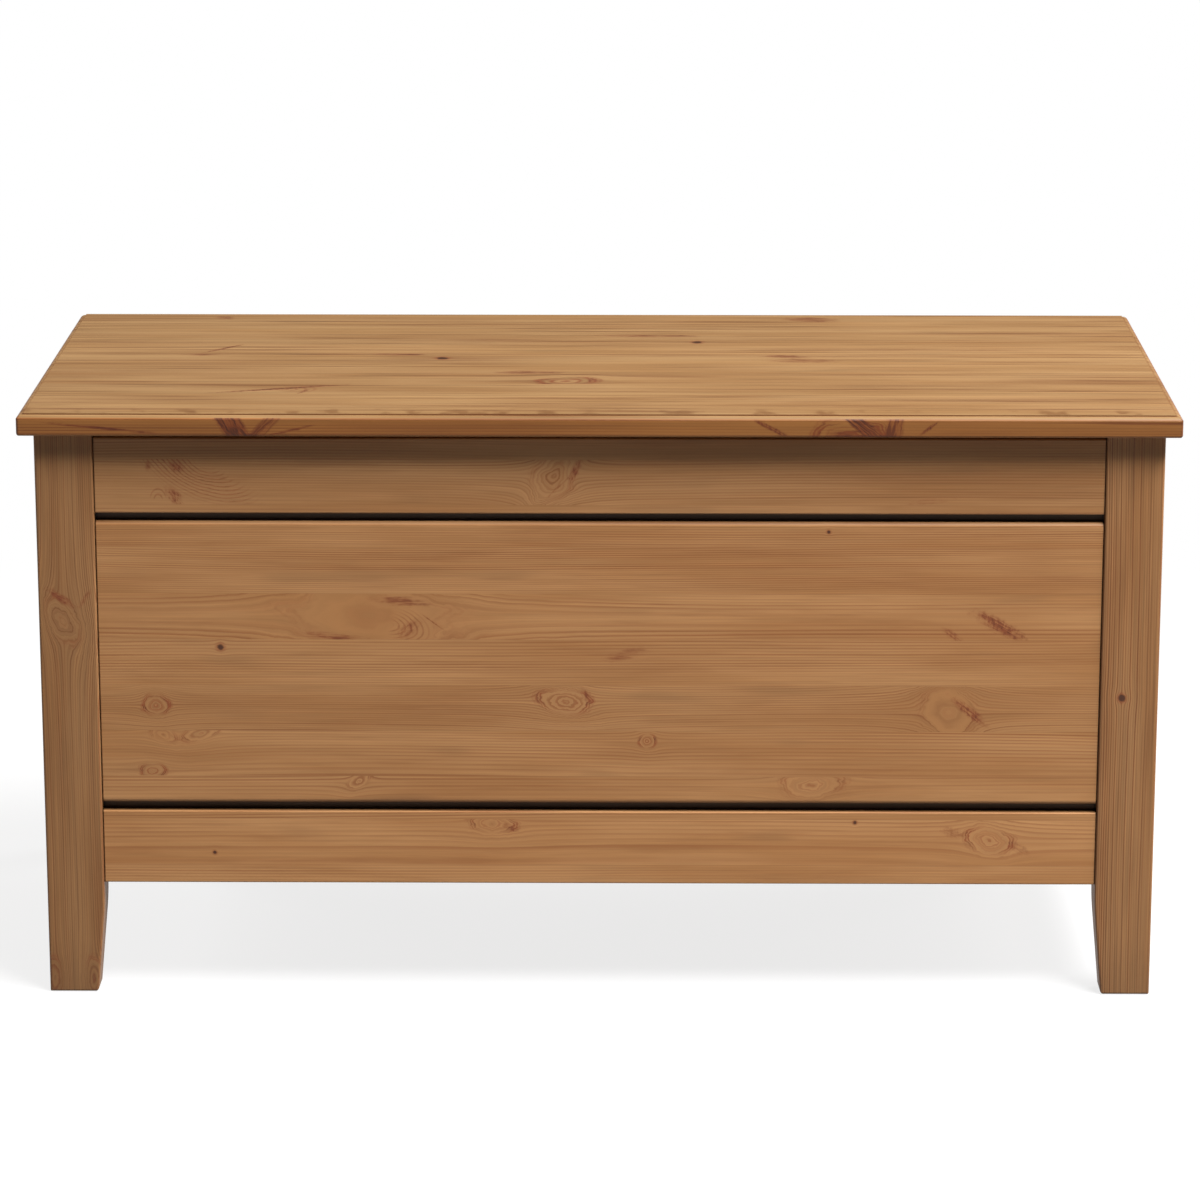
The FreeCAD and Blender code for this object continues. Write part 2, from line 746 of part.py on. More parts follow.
def lid_batten(side):
    """Flat bar under the lid that keeps it from cupping, with sloped ends, and its screws' places."""
    centre = side * batten_spread
    start = front_inner_face + batten_end_distance
    end = back_inner_face - batten_end_distance
    low = lid_bottom - batten_thickness
    corners = [
        (start, lid_bottom, 0),
        (start, low + batten_end_chamfer, 0),
        (start + batten_end_chamfer, low, 0),
        (end - batten_end_chamfer, low, 0),
        (end, low + batten_end_chamfer, 0),
        (end, lid_bottom, 0),
    ]
    bar = rounded_face(corners, in_yz).extrude(RIGHT * batten_width)
    bar.translate(RIGHT * (centre - batten_width / 2))
    lower = [
        edge
        for edge in edges_where(bar, lambda p: p.z < low + 1)
        if edge.BoundBox.YLength > batten_width
    ]
    bar = bar.makeFillet(batten_round, lower)
    first = start + batten_screw_end
    pitch = (end - start - 2 * batten_screw_end) / (batten_screw_count - 1)
    return bar, [(Vector(centre, first + index * pitch, low), UP) for index in range(batten_screw_count)]


def lid_bumpers():
    """Thin round pads between the lid and the top of each leg."""
    across = frame_half_width - leg_width / 2
    rows = (frame_front + leg_depth / 2, frame_back - leg_depth / 2)
    return [
        rod(Vector(side * across, y, frame_top), UP, bumper_radius, lid_gap) for side in (-1, 1) for y in rows
    ]


def build():
    nodes, groups, leg_tools = walls()
    nodes.update(legs(leg_tools))
    nodes["bottom_panel"] = bottom_panel()

    frame_leaves, groups["hinge_frame_screws"], rail_tools = hinges(False)
    nodes["back_top_rail"] = cut(nodes["back_top_rail"], rail_tools)
    lid_leaves, groups["hinge_lid_screws"], lid_tools = hinges(True)
    for name, side in (("left", -1), ("right", 1)):
        nodes[name + "_hinge_frame_leaf"] = frame_leaves[name]
        nodes[name + "_hinge_lid_leaf"] = lid_leaves[name]
        nodes[name + "_hinge_pin"] = hinge_pin(side * hinge_spread)

    stay_nodes, stay_groups, guide_holes, bracket_holes = stays()
    nodes.update(stay_nodes)
    groups.update(stay_groups)
    for name in ("left_top_rail", "right_top_rail"):
        nodes[name] = cut(nodes[name], guide_holes)

    batten_places = []
    battens = {}
    for name, side in (("left", -1), ("right", 1)):
        battens[name + "_lid_batten"], places = lid_batten(side)
        batten_places += places
    groups["lid_batten_screws"], batten_holes = screw_set(board_screw, batten_places)
    nodes.update({name: cut(batten, batten_holes) for name, batten in battens.items()})
    nodes["lid_panel"] = cut(lid_board(), lid_tools + bracket_holes + batten_holes)
    groups["lid_bumpers"] = lid_bumpers()

    nodes.update({name: Part.makeCompound(solids) for name, solids in groups.items()})
    return nodes


os.makedirs("parts", exist_ok=True)
for node, shape in sorted(build().items()):
    shape.exportStep("parts/" + node + ".step")
    state = "valid" if shape.isValid() else "NOT VALID"
    print(f"{node}: {len(shape.Solids)} solids, {shape.Volume / 1000:.2f} cm3, {state}")
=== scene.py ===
import json
import math
from collections import namedtuple

import bmesh
import bpy
from mathutils import Matrix, Vector

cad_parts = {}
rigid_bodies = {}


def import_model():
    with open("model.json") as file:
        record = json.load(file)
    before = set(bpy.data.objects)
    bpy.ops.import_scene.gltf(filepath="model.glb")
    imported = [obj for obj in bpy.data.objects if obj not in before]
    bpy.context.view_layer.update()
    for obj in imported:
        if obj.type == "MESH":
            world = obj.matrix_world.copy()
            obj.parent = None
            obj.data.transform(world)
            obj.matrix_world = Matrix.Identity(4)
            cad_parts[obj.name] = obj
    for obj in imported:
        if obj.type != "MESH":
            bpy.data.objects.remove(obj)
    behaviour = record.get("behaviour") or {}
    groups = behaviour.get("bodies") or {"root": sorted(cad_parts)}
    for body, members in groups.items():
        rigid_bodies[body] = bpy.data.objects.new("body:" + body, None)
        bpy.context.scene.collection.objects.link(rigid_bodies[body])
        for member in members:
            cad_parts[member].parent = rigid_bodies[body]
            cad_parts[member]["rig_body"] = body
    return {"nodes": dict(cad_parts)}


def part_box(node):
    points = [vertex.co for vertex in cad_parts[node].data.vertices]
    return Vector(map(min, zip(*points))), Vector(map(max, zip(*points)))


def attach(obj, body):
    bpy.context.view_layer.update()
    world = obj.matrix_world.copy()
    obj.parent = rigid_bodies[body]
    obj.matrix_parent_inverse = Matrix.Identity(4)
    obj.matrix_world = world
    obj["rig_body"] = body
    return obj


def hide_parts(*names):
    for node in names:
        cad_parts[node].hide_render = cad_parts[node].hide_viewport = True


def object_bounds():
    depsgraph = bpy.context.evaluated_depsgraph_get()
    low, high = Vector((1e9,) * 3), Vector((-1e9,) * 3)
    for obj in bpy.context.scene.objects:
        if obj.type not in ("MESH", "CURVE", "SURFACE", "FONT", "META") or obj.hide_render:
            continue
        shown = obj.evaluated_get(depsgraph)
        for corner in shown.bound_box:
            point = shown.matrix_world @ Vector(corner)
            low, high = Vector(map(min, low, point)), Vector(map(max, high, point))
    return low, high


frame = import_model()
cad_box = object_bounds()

# Sizes and places are in metres. The marks on the wood are written in millimetres and degrees.
MM = 0.001
NODES = frame["nodes"]


def stain(red, green, blue):
    """A colour as the eye reads it, 0 to 255, turned into the linear values that a shader takes."""
    def linear(level):
        level = level / 255
        return level / 12.92 if level <= 0.04045 else ((level + 0.055) / 1.055) ** 2.4
    return (linear(red), linear(green), linear(blue), 1.0)


class Amount:
    """A number that changes over a surface. Python's operators on it add Math nodes."""

    def __init__(self, tree, socket):
        self.tree = tree
        self.socket = socket

    def math(self, operation, *others):
        return self.tree.math(operation, self, *others)

    def __add__(self, other):
        return self.math("ADD", other)

    def __sub__(self, other):
        return self.math("SUBTRACT", other)

    def __rsub__(self, other):
        return self.tree.math("SUBTRACT", other, self)

    def __mul__(self, other):
        return self.math("MULTIPLY", other)

    def __truediv__(self, other):
        return self.math("DIVIDE", other)

    def __rtruediv__(self, other):
        return self.tree.math("DIVIDE", other, self)

    __radd__ = __add__
    __rmul__ = __mul__


class Tree:
    """A node tree written as Python."""

    def __init__(self, nodes_of):
        nodes_of.use_nodes = True
        self.nodes = nodes_of.node_tree.nodes
        self.links = nodes_of.node_tree.links
        self.nodes.clear()

    def node(self, kind, settings=None, inputs=None):
        """A node of that kind. Its settings are set first, then its sockets get values or links."""
        made = self.nodes.new(kind)
        for name, value in (settings or {}).items():
            setattr(made, name, value)
        for name, value in (inputs or {}).items():
            self.plug(made.inputs[name], value)
        return made

    def plug(self, socket, value):
        if isinstance(value, Amount):
            value = value.socket
        if isinstance(value, bpy.types.NodeSocket):
            self.links.new(value, socket)
        else:
            socket.default_value = value

    def amount(self, made, output=0):
        return Amount(self, made.outputs[output])

    def math(self, operation, *values):
        return self.amount(self.node("ShaderNodeMath", {"operation": operation}, dict(enumerate(values))))

    def parts(self, vector):
        made = self.node("ShaderNodeSeparateXYZ", inputs={0: vector})
        return [self.amount(made, index) for index in range(3)]

    def vector(self, x, y, z):
        return self.node("ShaderNodeCombineXYZ", inputs={0: x, 1: y, 2: z}).outputs[0]

    def length(self, vector):
        return self.amount(self.node("ShaderNodeVectorMath", {"operation": "LENGTH"}, {0: vector}), "Value")

    def noise(self, vector, scale, detail=2.0, roughness=0.5, start=0.0):
        """Soft noise from 0 to 1 with scale cells per unit along each axis. A new start, a new pattern."""
        stretched = self.node("ShaderNodeVectorMath", {"operation": "MULTIPLY_ADD"},
                              {0: vector, 1: scale, 2: (start, start, start)})
        inputs = {"Vector": stretched.outputs[0], "Scale": 1.0, "Detail": detail, "Roughness": roughness}
        return self.amount(self.node("ShaderNodeTexNoise", inputs=inputs))

    def chance(self, number):
        """Three random numbers from 0 to 1 for each whole number."""
        made = self.node("ShaderNodeTexWhiteNoise", {"noise_dimensions": "1D"}, {"W": number})
        split = self.node("ShaderNodeSeparateColor", inputs={0: made.outputs["Color"]})
        return [self.amount(split, index) for index in range(3)]

    def rise(self, value, low, high):
        """0 below low, 1 above high, smooth between."""
        return self.amount(self.node("ShaderNodeMapRange", {"interpolation_type": "SMOOTHSTEP"},
                                     {"Value": value, "From Min": low, "From Max": high}))

    def fall(self, value, low, high):
        return 1 - self.rise(value, low, high)

    def mix(self, first, second, factor, blend="MIX"):
        made = self.node("ShaderNodeMix", {"data_type": "RGBA", "blend_type": blend},
                         {0: factor, 6: first, 7: second})
        return made.outputs[2]

    def shade(self, colour, level):
        """The colour made lighter or darker by a varying level, where 1 leaves it as it is."""
        return self.mix(colour, self.vector(level, level, level), 1.0, "MULTIPLY")


class Finish(Tree):
    """One material: a Principled shader and the nodes that feed it."""

    def __init__(self, name, fixed):
        self.material = bpy.data.materials.new(name)
        super().__init__(self.material)
        self.shader = self.node("ShaderNodeBsdfPrincipled", inputs=fixed)
        self.output = self.node("ShaderNodeOutputMaterial", inputs={"Surface": self.shader.outputs["BSDF"]})
        self.place = self.node("ShaderNodeTexCoord").outputs["Object"]

    def wear(self, colour, roughness, height, relief):
        """Feeds the shader: colour, roughness and a bump of that relief in metres."""
        bump = self.node("ShaderNodeBump", inputs={"Strength": 1.0, "Distance": relief, "Height": height})
        self.plug(self.shader.inputs["Base Color"], colour)
        self.plug(self.shader.inputs["Roughness"], roughness)
        self.plug(self.shader.inputs["Normal"], bump.outputs[0])
        return self.material


# Marks on a board: places along and across the grain, half lengths and half heights, and a turn
Knot = namedtuple("Knot", "along across long high turn rings strength")
Feather = namedtuple("Feather", "along across long high turn strength")
Swirl = namedtuple("Swirl", "along across long high turn rings strength")
Hatch = namedtuple("Hatch", "along across long high lean strokes strength")
Pin = namedtuple("Pin", "along across size")

# Stained and oiled pine
PALE_PINE = stain(182, 133, 86)
DEEP_PINE = stain(166, 116, 70)
LATE_PINE = stain(136, 80, 44)
KNOT_RED = stain(140, 70, 40)
KNOT_DARK = stain(58, 29, 18)
SMUDGE = stain(132, 94, 60)

# Fine arcs in the crescents beside a knot, for each knot half length
CRESCENT_ARCS = 6
# A feather that leans from the grain by more degrees than this has strokes of its own direction
GRAIN_TURN = 17


class MarkSum:
    """What the marks of one face add up to: how far they push the grain aside, how red and how dark."""

    def __init__(self, finish, along, across, wobble, ring):
        self.finish = finish
        self.across = across
        self.ring = ring
        self.face = finish.vector(along, across, 0.0)
        self.wobble = wobble
        self.sway = finish.noise(self.face, (34, 70, 1), 1.0) - 0.5
        self.barbs = finish.rise(finish.noise(self.face, (420, 160, 1), 2.0, 0.6), 0.42, 0.62)
        self.streaks = finish.rise(finish.noise(self.face, (34, 420, 1), 3.0, 0.7), 0.38, 0.66)
        self.bend = 0.0
        self.red = 0.0
        self.dark = 0.0

    def near(self, mark, long, high, turn=0.0):
        """Place within the mark, where its outline is at a length of 1."""
        made = self.finish.node("ShaderNodeMapping", {"vector_type": "TEXTURE"}, {
            "Vector": self.face,
            "Location": (mark.along * MM, mark.across * MM, 0),
            "Rotation": (0, 0, math.radians(turn)),
            "Scale": (long * MM, high * MM, 1),
        })
        return made.outputs[0]

    def push(self, mark, reach, rings, here):
        """The grain flows round a mark as water flows round a pile, and closes in rings inside it."""
        spread = reach.math("MAXIMUM", 1.0)
        flow = (self.across - mark.across * MM) / (spread * spread)
        closing = (spread - reach) * (rings * self.ring * MM)
        self.bend = self.bend + (flow - closing) * here
        return spread

    def knot(self, mark, here):
        """A branch cut across: rings in a pale round, and red crescents where the grain parts and meets."""
        finish = self.finish
        inner = self.near(mark, mark.long, mark.high, mark.turn)
        ragged = finish.length(inner) + self.sway * 0.7 + self.wobble * min(0.5, 4.0 / mark.high)
        spread = self.push(mark, ragged, mark.rings, here)
        ring = (ragged * (mark.rings * math.tau)).math("SINE")
        inside = finish.fall(ragged, 0.35, 1.0) * here * (finish.rise(ring, 0.3, 1.0) * 0.6 + 0.05)
        side = finish.parts(inner)[0] / spread
        arcs = finish.rise((ragged * (CRESCENT_ARCS * math.tau)).math("SINE"), -0.5, 0.7) * 0.7 + 0.3
        rim = finish.rise(ragged, 0.92, 1.04) * finish.fall(ragged, 1.1, 1.5) * arcs
        crescent = rim * side * side * here
        self.red = self.red + (inside + crescent * 1.1) * mark.strength
        self.dark = self.dark + crescent * (0.6 * mark.strength) * finish.rise(self.wobble, -0.05, 0.2)

    def feather(self, mark, here):
        """A branch cut along: red strokes, with short barbs where it leans, darkest towards its far end."""
        finish = self.finish
        inner = self.near(mark, mark.long, mark.high, mark.turn)
        reach = finish.length(inner) + self.wobble * 0.8
        core = finish.fall(reach, 0.15, 1.1) * here
        far = finish.parts(inner)[0] * 0.3 + 0.7
        strokes = barbs = self.streaks
        if abs(mark.turn) > GRAIN_TURN:
            strokes = finish.rise(finish.noise(inner, (1.3, 3.2, 1), 3.0, 0.7, mark.along), 0.36, 0.6)
            barbs = self.barbs
        self.red = self.red + core * (strokes * 0.6 + barbs * 0.4 + 0.12) * mark.strength
        self.dark = self.dark + core * strokes * (barbs * 0.6 + 0.25) * far * (0.8 * mark.strength)

    def swirl(self, mark, here):
        """Grain that crowds beside a branch: fine arcs to one side of the mark's middle."""
        finish = self.finish
        inner = self.near(mark, mark.long, mark.high, mark.turn)
        reach = finish.length(inner) + self.sway * 0.08 + self.wobble * 0.03
        side = finish.parts(inner)[0] / reach.math("MAXIMUM", 0.1)
        arcs = finish.rise((reach * (mark.rings * math.tau)).math("SINE"), 0.0, 1.0)
        arcs = arcs * finish.rise(side, 0.1, 0.7)
        arcs = arcs * finish.rise(reach, 0.12, 0.3) * finish.fall(reach, 0.7, 1.1) * here
        self.red = self.red + arcs * (0.6 * mark.strength)
        self.dark = self.dark + arcs * finish.rise(self.wobble, -0.1, 0.25) * (0.4 * mark.strength)

    def hatch(self, mark, here):
        """Leaning dark strokes, where a branch comes out through an edge."""
        finish = self.finish
        x, y, _ = finish.parts(self.near(mark, mark.long, mark.high))
        leaning = x - y * mark.lean + self.wobble * 0.3
        patch = finish.fall(leaning.math("ABSOLUTE"), 0.6, 1.05) * here
        noise = finish.noise(finish.vector(leaning, y, 0.0), (mark.strokes, 0.4, 1), 2.0, 0.6, mark.along)
        strokes = finish.rise(noise, 0.4, 0.6)
        self.red = self.red + patch * (strokes * 0.5 + 0.4) * mark.strength
        self.dark = self.dark + patch * strokes * (0.45 * mark.strength)

    def pin(self, mark, here):
        """A small dead knot, nearly black."""
        finish = self.finish
        reach = finish.length(self.near(mark, mark.size, mark.size)) + self.wobble * 0.9
        self.push(mark, reach, 1.0, here)
        self.red = self.red + finish.fall(reach, 0.9, 2.0) * here * 0.5
        self.dark = self.dark + finish.fall(reach, 0.6, 1.15) * here * 0.9

    def lay(self, mark, here):
        draw = {Knot: self.knot, Feather: self.feather, Swirl: self.swirl, Hatch: self.hatch, Pin: self.pin}
        draw[type(mark)](mark, here)

    def colour(self, colour):
        """The colour with the marks on it."""
        if isinstance(self.red, float):
            return colour
        colour = self.finish.mix(colour, KNOT_RED, self.red.math("MINIMUM", 0.85))
        return self.finish.mix(colour, KNOT_DARK, self.dark.math("MINIMUM", 0.95))


# A board of glued staves. The order gives the axes along the grain, across it and through the board.
# The face is how far from the middle of the chest its show side lies, and a seam is one of its glue lines.
# A ring is the width of a year in millimetres, and the scales are cells per metre along each axis.
Board = namedtuple(
    "Board", "order face seam stave seed tone contrast streaks ring streak_scale fibre_scale",
    defaults=(1.0, 1.0, 0.12, 2.3, (8, 115, 115), (7, 620, 620)))

# What a touch on a board needs: where the point is, how far behind the face, and a fine wobble
Spot = namedtuple("Spot", "x y z behind wobble")

# How far along its tree a stave may start, and what keeps the years of neighbouring staves apart
STAVE_SHIFT = 9.0
YEARS_APART = 31.0
# Where the pith of a stave may lie, beside it and behind its face, and how far its rings wander and ripple
PITH_ASIDE = 240 * MM
PITH_NEAREST = 12 * MM
PITH_DEPTH = 30 * MM
RING_WANDER = 22 * MM
RING_RIPPLE = 1.6 * MM
# Streaks are strongest this far in from the show side
SHOW_DEPTH = 6 * MM
# A glue line starts and is full at these shares of a stave from its middle, and is this much darker
GLUE_START = 0.492
GLUE_FULL = 0.4995
GLUE_SHADE = 0.14


def pine(name, board, marks=(), touches=()):
    """Edge-glued pine with growth rings, fibres, glue lines and the board's own marks and touches."""
    finish = Finish(name, {"Specular IOR Level": 0.35})
    axes = dict(zip("xyz", finish.parts(finish.place)))
    along, across, through = [axes[axis] for axis in board.order]
    number = ((across - board.seam) / board.stave).math("FLOOR")
    luck = finish.chance(number + board.seed)

    # Each stave is a piece of another tree, so its grain starts somewhere else
    shift = along + luck[0] * STAVE_SHIFT + board.seed
    loose = finish.vector(shift, across, through)
    wobble = finish.noise(loose, (160, 260, 260)) - 0.5
    total = MarkSum(finish, along, across, wobble, board.ring)
    for mark in marks:
        own = math.floor((mark.across * MM - board.seam) / board.stave)
        total.lay(mark, number.math("COMPARE", own, 0.25))
    bent = across - total.bend
    grain = finish.vector(shift, bent, through)

    # Growth rings: rounds about a pith that lies beside the stave and behind its face
    wander = finish.noise(grain, (1.2, 7, 7), 1.0) - 0.5
    ripple = finish.noise(grain, (6, 60, 60)) - 0.5
    middle = (number + 0.5) * board.stave + board.seam
    beside = bent - middle + (luck[1] - 0.5) * PITH_ASIDE + wander * RING_WANDER + ripple * RING_RIPPLE
    behind = board.face - through.math("ABSOLUTE")
    below = behind + luck[2] * PITH_DEPTH + PITH_NEAREST
    rings = (beside * beside + below * below).math("SQRT") / (board.ring * MM)
    year = rings.math("FLOOR")
    phase = rings - year
    late = finish.rise(phase, 0.3, 0.82) * finish.fall(phase, 0.86, 1.0)
    good_year = finish.chance(year + number * YEARS_APART + board.seed)[0]
    fade = finish.rise(finish.noise(grain, (2.5, 26, 26)), 0.25, 0.75)
    line = late * (good_year * 0.8 + 0.2) * (fade * 0.75 + 0.25)

    # Fibres, streaks, broad clouds and brown smudges
    fibre = finish.noise(grain, board.fibre_scale, 3.0, 0.7)
    streak = finish.noise(grain, board.streak_scale, 3.0, 0.7)
    cloud = finish.noise(grain, (4, 30, 30), 3.0)
    smudge = finish.rise(finish.noise(grain, (9, 46, 46), 1.0), 0.62, 0.8)
    colour = finish.mix(PALE_PINE, DEEP_PINE, finish.rise(cloud, 0.3, 0.7))
    shown = finish.fall(behind, SHOW_DEPTH, 1.5 * SHOW_DEPTH) * 0.8 + 0.2
    streaks = shown * board.streaks
    colour = finish.mix(colour, LATE_PINE, finish.rise(streak, 0.5, 0.72) * streaks * 1.4)
    colour = finish.mix(colour, LATE_PINE, line * (0.85 * board.contrast))
    colour = finish.mix(colour, SMUDGE, smudge * 0.3)
    level = (luck[0] * 0.08 + 0.96) * board.tone + (fibre - 0.5) * (0.5 * board.contrast)
    colour = finish.shade(colour, level - (streak - 0.5) * streaks)
    colour = total.colour(colour)

    # Glue lines, then what is particular to this board
    from_seam = ((across - board.seam) / board.stave - number - 0.5).math("ABSOLUTE")
    colour = finish.shade(colour, 1 - finish.rise(from_seam, GLUE_START, GLUE_FULL) * GLUE_SHADE)
    spot = Spot(axes["x"], axes["y"], axes["z"], behind, wobble)
    for touch in touches:
        colour = touch(finish, spot, colour)
    roughness = line * -0.06 + fibre * 0.14 + 0.44
    pores = finish.noise(loose, (30, 1500, 1500))
    return finish.wear(colour, roughness, pores, relief=0.06 * MM)


# Painted shade darkens the shadow gaps above and below the panels, and the rounded edges beside them
GAP_HALF = 3.5 * MM
GAP_DEPTH = 10 * MM
UPPER_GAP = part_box("front_top_rail")[0].z - GAP_HALF
LOWER_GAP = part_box("front_bottom_rail")[1].z + GAP_HALF


def gap_painted_shade(finish, spot, colour):
    from_gap = (spot.z - UPPER_GAP).math("ABSOLUTE").math("MINIMUM", (spot.z - LOWER_GAP).math("ABSOLUTE"))
    beside = finish.fall(from_gap, 1.9 * GAP_HALF, 2.1 * GAP_HALF)
    edge = finish.rise(spot.behind, 0.01 * GAP_DEPTH, 0.12 * GAP_DEPTH)
    deep = finish.rise(spot.behind, 0.2 * GAP_DEPTH, 0.6 * GAP_DEPTH)
    inside = finish.fall(spot.behind, 1.05 * GAP_DEPTH, 1.15 * GAP_DEPTH)
    # painted shade: the gaps darken with depth, and the edges beside them lose their highlight
    return finish.shade(colour, 1 - (edge * 0.45 + deep * 0.35) * beside * inside)


# Rails and panels meet the legs in a dark line: stain in the joint and painted shade of its crevice
JOINT_LINE = 1.5 * MM


def leg_joint_stain_and_shade(rail, axis):
    """The touch that darkens both ends of a rail's length, with stain and painted shade."""
    low, high = [getattr(corner, axis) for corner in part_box(rail)]

    def touch(finish, spot, colour):
        from_end = (high - low) / 2 - (getattr(spot, axis) - (low + high) / 2).math("ABSOLUTE")
        return finish.shade(colour, 1 - finish.fall(from_end, 0.4 * JOINT_LINE, JOINT_LINE) * 0.8)
    return touch


# Feet are a little darker near the floor
FOOT_DARK_HEIGHT = 60 * MM


def foot_darkening(finish, spot, colour):
    low = finish.fall(spot.z + spot.wobble * 0.02, 0.0, FOOT_DARK_HEIGHT)
    return finish.shade(colour, 1 - low * 0.16)


# The lid's top is darkened to offset the strong light from above, which is painted shade; its edges took
# more stain than its underside, and its moulding holds a dark line of stain and painted shade
LID_LOW, LID_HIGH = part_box("lid_panel")
EDGE_SKIN = 1.2 * MM
EDGE_STAIN = (0.62, 0.5, 0.3, 1.0)
MOULDING_INSET = 5.6 * MM
MOULDING_LINE = 1.3 * MM
MOULDING_STAIN_AND_SHADE = stain(112, 62, 32)
TOP_SKIN = 5 * MM
TOP_PAINTED_SHADE = (0.6, 0.69, 0.72, 1.0)
HANDLED_REACH = 34 * MM
HANDLED_STAIN = (0.66, 0.56, 0.48, 1.0)
END_SKIN = 3 * MM
END_STAIN = (0.45, 0.32, 0.22, 1.0)
EDGE_RING = 2.3
LID_EDGE_MARKS = [
    Feather(-411, 489.5, 60, 1.6, -5.5, 1.2),
    Hatch(-298, 489.5, 12, 7.5, -0.41, 4, 1.7),
    Hatch(-273.5, 489.5, 8, 7.5, 0.9, 3, 0.9),
    Feather(-250.7, 487.5, 23, 1.5, 13, 1.6),
    Feather(140.6, 489.5, 18, 2.4, -26, 1.5),
    Feather(203.6, 483, 20, 7.5, 0, 1.4),
    Knot(203, 481, 24, 14, 0, 3, 1.4),
    Hatch(217, 489.5, 10, 7.5, -0.92, 5, 1.5),
    Hatch(240.4, 489.5, 8, 7.5, 0.12, 3, 1.1),
    Feather(268, 489.5, 12, 1.6, 39, 1.6),
]


def lid_edges(finish, spot, colour):
    plain = colour
    top = finish.fall(LID_HIGH.z - spot.z, 0.9 * TOP_SKIN, TOP_SKIN)
    # painted shade: the top face is darkened to offset the strong light from above
    colour = finish.mix(colour, TOP_PAINTED_SHADE, top, "MULTIPLY")
    from_front = spot.y - LID_LOW.y
    from_end = LID_HIGH.x - spot.x.math("ABSOLUTE")
    from_edge = from_front.math("MINIMUM", from_end)
    front_skin = finish.fall(from_front, 0.4 * EDGE_SKIN, EDGE_SKIN)
    end_skin = finish.fall(from_end, 0.4 * END_SKIN, END_SKIN)
    marks = MarkSum(finish, spot.x, spot.z, spot.wobble, EDGE_RING)
    for mark in LID_EDGE_MARKS:
        marks.lay(mark, front_skin)
    colour = finish.mix(colour, finish.mix(marks.colour(plain), EDGE_STAIN, 1.0, "MULTIPLY"), front_skin)
    colour = finish.mix(colour, finish.mix(plain, END_STAIN, 1.0, "MULTIPLY"), end_skin)
    # stain and painted shade in the moulding's step
    line = finish.fall((from_edge - MOULDING_INSET).math("ABSOLUTE"), 0.2 * MOULDING_LINE, MOULDING_LINE)
    sunk = finish.rise(LID_HIGH.z - spot.z, 0.1 * MM, 0.5 * MM)
    colour = finish.mix(colour, MOULDING_STAIN_AND_SHADE, line * sunk * 0.85)
    blot = finish.noise(finish.vector(spot.x, spot.y, 0.0), (48, 30, 1), 2.0)
    handled = finish.fall(from_front, 2 * MOULDING_INSET, HANDLED_REACH) * finish.rise(blot, 0.5, 0.68)
    behind_moulding = finish.rise(from_front, MOULDING_INSET, 1.3 * MOULDING_INSET)
    return finish.mix(colour, HANDLED_STAIN, handled * behind_moulding * top, "MULTIPLY")


PANEL_MARKS = [
    Pin(-313.5, 300.4, 2.9),
    Knot(-368.2, 250.7, 9, 8, 0, 2.5, 1.1),
    Knot(-372.3, 193.5, 9, 6, 0, 2.5, 1.1),
    Knot(-363.2, 225, 10, 6, -20, 2, 0.5),
    Knot(-331, 226, 13, 6, 15, 2.5, 0.5),
    Knot(-200.7, 184.5, 9, 5, 30, 2, 0.45),
    Knot(-188, 327, 60, 22, -3, 1, 0.16),
    Feather(-222.3, 309.6, 32, 4, -4, 1.0),
    Feather(-165, 340, 30, 5, -6, 0.9),
    Swirl(-176, 320, 40, 20, -12, 8, 0.6),
    Feather(-157, 316, 14, 7, 40, 0.6),
    Feather(-137.4, 322, 15, 0.8, -36.5, 1.0),
    Feather(21.3, 294.7, 22, 6, 15, 0.55),
    Knot(-29.2, 254.9, 18, 10, -8, 3, 0.7),
    Feather(-10.2, 259.1, 9, 5, -55, 0.7),
    Knot(39.6, 220.2, 6, 5.2, 0, 2.5, 1.3),
    Feather(330, 320, 28, 7, -27.8, 1.35),
    Feather(292.3, 311.3, 13, 4, -35, 0.8),
    Knot(290, 245, 21, 17, -20, 1.4, 0.22),
    Feather(306.4, 246.8, 22, 4.8, -40, 1.3),
    Knot(177.9, 182.1, 23, 10, 3, 3, 0.5),
    Pin(188.7, 399.1, 1.6),
]
TOP_RAIL_MARKS = [
    Swirl(-324, 458.5, 34, 62, 245, 13, 0.8),
    Feather(-346, 453, 8, 6, -30, 0.9),
    Feather(-349, 428.5, 11, 6, -50, 1.0),
    Feather(-370, 454, 3, 5, 0, 0.7),
    Swirl(-362, 424, 14, 9, 90, 3, 0.6),
    Knot(-36, 447, 14, 22, -35, 4.5, 0.3),
    Feather(-19.9, 449.5, 13, 3.5, 65, 1.1),
    Feather(-34, 436, 14, 1.2, 45, 0.6),
    Feather(272, 425.5, 22, 3, 5, 0.6),
]
BOTTOM_RAIL_MARKS = [
    Pin(-321.7, 122.4, 1.6),
    Knot(-88.9, 148.1, 16, 7, -5, 2.5, 0.7),
    Feather(-74, 144.8, 9, 3, -20, 0.7),
    Pin(213.6, 150, 1.6),
    Knot(326.2, 134.1, 16, 11, -8, 3, 0.75),
    Feather(294.8, 141.5, 14, 5, -20, 0.5),
    Feather(350.3, 128, 12, 5, -30, 0.5),
]
LEFT_LEG_MARKS = [
    Knot(323, -443, 19, 10.5, -24, 5, 0.3),
    Feather(342, -443.5, 16, 4, -57, 1.1),
    Feather(341.5, -424.5, 11, 2.5, 34, 0.6),
    Knot(12, -459, 16, 6, 0, 2, 0.5),
    Knot(12, -425.8, 16, 6, 0, 2, 0.5),
]
RIGHT_LEG_MARKS = [Pin(258.9, 432.9, 3.2)]
